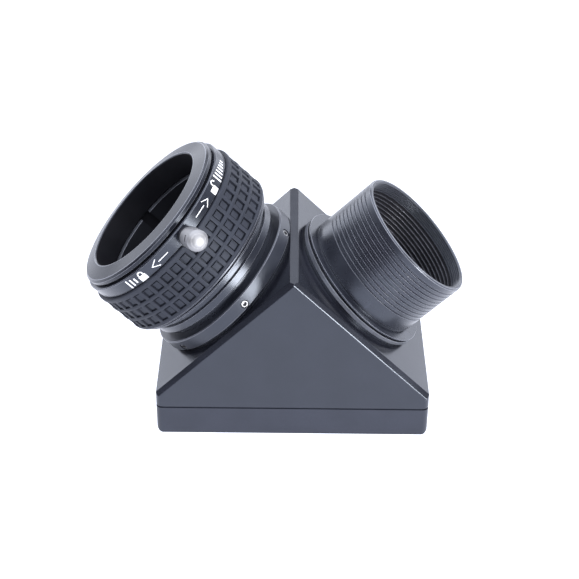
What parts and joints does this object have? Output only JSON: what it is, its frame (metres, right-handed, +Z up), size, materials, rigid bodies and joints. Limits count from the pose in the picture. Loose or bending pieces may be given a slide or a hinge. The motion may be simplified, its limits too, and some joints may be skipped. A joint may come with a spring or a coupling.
{
  "type": "star diagonal",
  "caption": "Right-angle mirror diagonal for a telescope: triangular housing on a base plate, grooved nosepiece, and a swivelling eyepiece clamp with a twist-lock grip ring and lever.",
  "frame": {"origin": "centre of the base plate's underside", "axes": "+Z up from the base plate; the nosepiece leans to +X and the eyepiece clamp to -X, both at 45 degrees; a plain triangular side faces -Y"},
  "size_m": [0.1408, 0.0764, 0.0989],
  "materials": {
    "anodised_housing": "bead-blasted black anodised, satin",
    "anodised_plate": "bead-blasted black anodised, satin",
    "anodised_nosepiece": "turned and black anodised, semi-gloss",
    "anodised_clamp": "turned and black anodised, semi-gloss",
    "anodised_collet": "turned and black anodised",
    "screw_steel": "plain stainless",
    "roller_steel": "ground stainless",
    "polished_steel": "polished stainless",
    "spring_steel": "bent sheet",
    "mirror_coating": "front-surface mirror on glass",
    "silicone": "soft translucent white",
    "grip_rubber": "matte moulded",
    "glide_plastic": "black acetal"
  },
  "bodies": {
    "housing": {"housing": "anodised_housing", "base_plate": "anodised_plate", "base_plate_screws": "screw_steel", "mirror": "mirror_coating", "mirror_pads": "silicone", "mirror_clips": "spring_steel", "mirror_clip_screws": "screw_steel", "nosepiece_adapter": "anodised_nosepiece", "nosepiece": "anodised_nosepiece", "eyepiece_port": "anodised_nosepiece"},
    "clamp": {"clamp_base_ring": "anodised_clamp", "swivel_set_screws": "screw_steel", "clamp_body": "anodised_clamp", "clamp_collet": "anodised_collet", "rear_glide_washer": "glide_plastic", "stop_pin": "screw_steel", "front_glide_washer": "glide_plastic", "nose_ring": "anodised_clamp"},
    "lock_ring": {"lock_ring": "anodised_clamp", "rubber_grip": "grip_rubber", "lever_stud": "screw_steel", "lever_knob": "polished_steel"},
    "roller_1": {"roller_1": "roller_steel"},
    "roller_2": {"roller_2": "roller_steel"},
    "roller_3": {"roller_3": "roller_steel"},
    "roller_4": {"roller_4": "roller_steel"},
    "roller_5": {"roller_5": "roller_steel"},
    "roller_6": {"roller_6": "roller_steel"}
  },
  "joints": [
    {"name": "clamp_swivel", "type": "hinge", "parent": "housing", "child": "clamp", "pos_m": [0, 0, 0.0214], "axis": [-0.7071, 0, 0.7071], "continuous": true},
    {"name": "lock_ring_turn", "type": "hinge", "parent": "clamp", "child": "lock_ring", "pos_m": [0, 0, 0.0214], "axis": [0.7071, 0, -0.7071], "range_deg": [0, 30]},
    {"name": "roller_1_slide", "type": "slide", "parent": "clamp", "child": "roller_1", "axis": [-0.6124, -0.5, -0.6124], "range_m": [0, 0.00031]},
    {"name": "roller_2_slide", "type": "slide", "parent": "clamp", "child": "roller_2", "axis": [0, -1, 0], "range_m": [0, 0.00031]},
    {"name": "roller_3_slide", "type": "slide", "parent": "clamp", "child": "roller_3", "axis": [0.6124, -0.5, 0.6124], "range_m": [0, 0.00031]},
    {"name": "roller_4_slide", "type": "slide", "parent": "clamp", "child": "roller_4", "axis": [0.6124, 0.5, 0.6124], "range_m": [0, 0.00031]},
    {"name": "roller_5_slide", "type": "slide", "parent": "clamp", "child": "roller_5", "axis": [0, 1, 0], "range_m": [0, 0.00031]},
    {"name": "roller_6_slide", "type": "slide", "parent": "clamp", "child": "roller_6", "axis": [-0.6124, 0.5, -0.6124], "range_m": [0, 0.00031]}
  ],
  "couplings": [
    {"joint": "roller_1_slide", "follows": "lock_ring_turn", "m_per_rad": 0.00057296},
    {"joint": "roller_2_slide", "follows": "lock_ring_turn", "m_per_rad": 0.00057296},
    {"joint": "roller_3_slide", "follows": "lock_ring_turn", "m_per_rad": 0.00057296},
    {"joint": "roller_4_slide", "follows": "lock_ring_turn", "m_per_rad": 0.00057296},
    {"joint": "roller_5_slide", "follows": "lock_ring_turn", "m_per_rad": 0.00057296},
    {"joint": "roller_6_slide", "follows": "lock_ring_turn", "m_per_rad": 0.00057296}
  ]
}
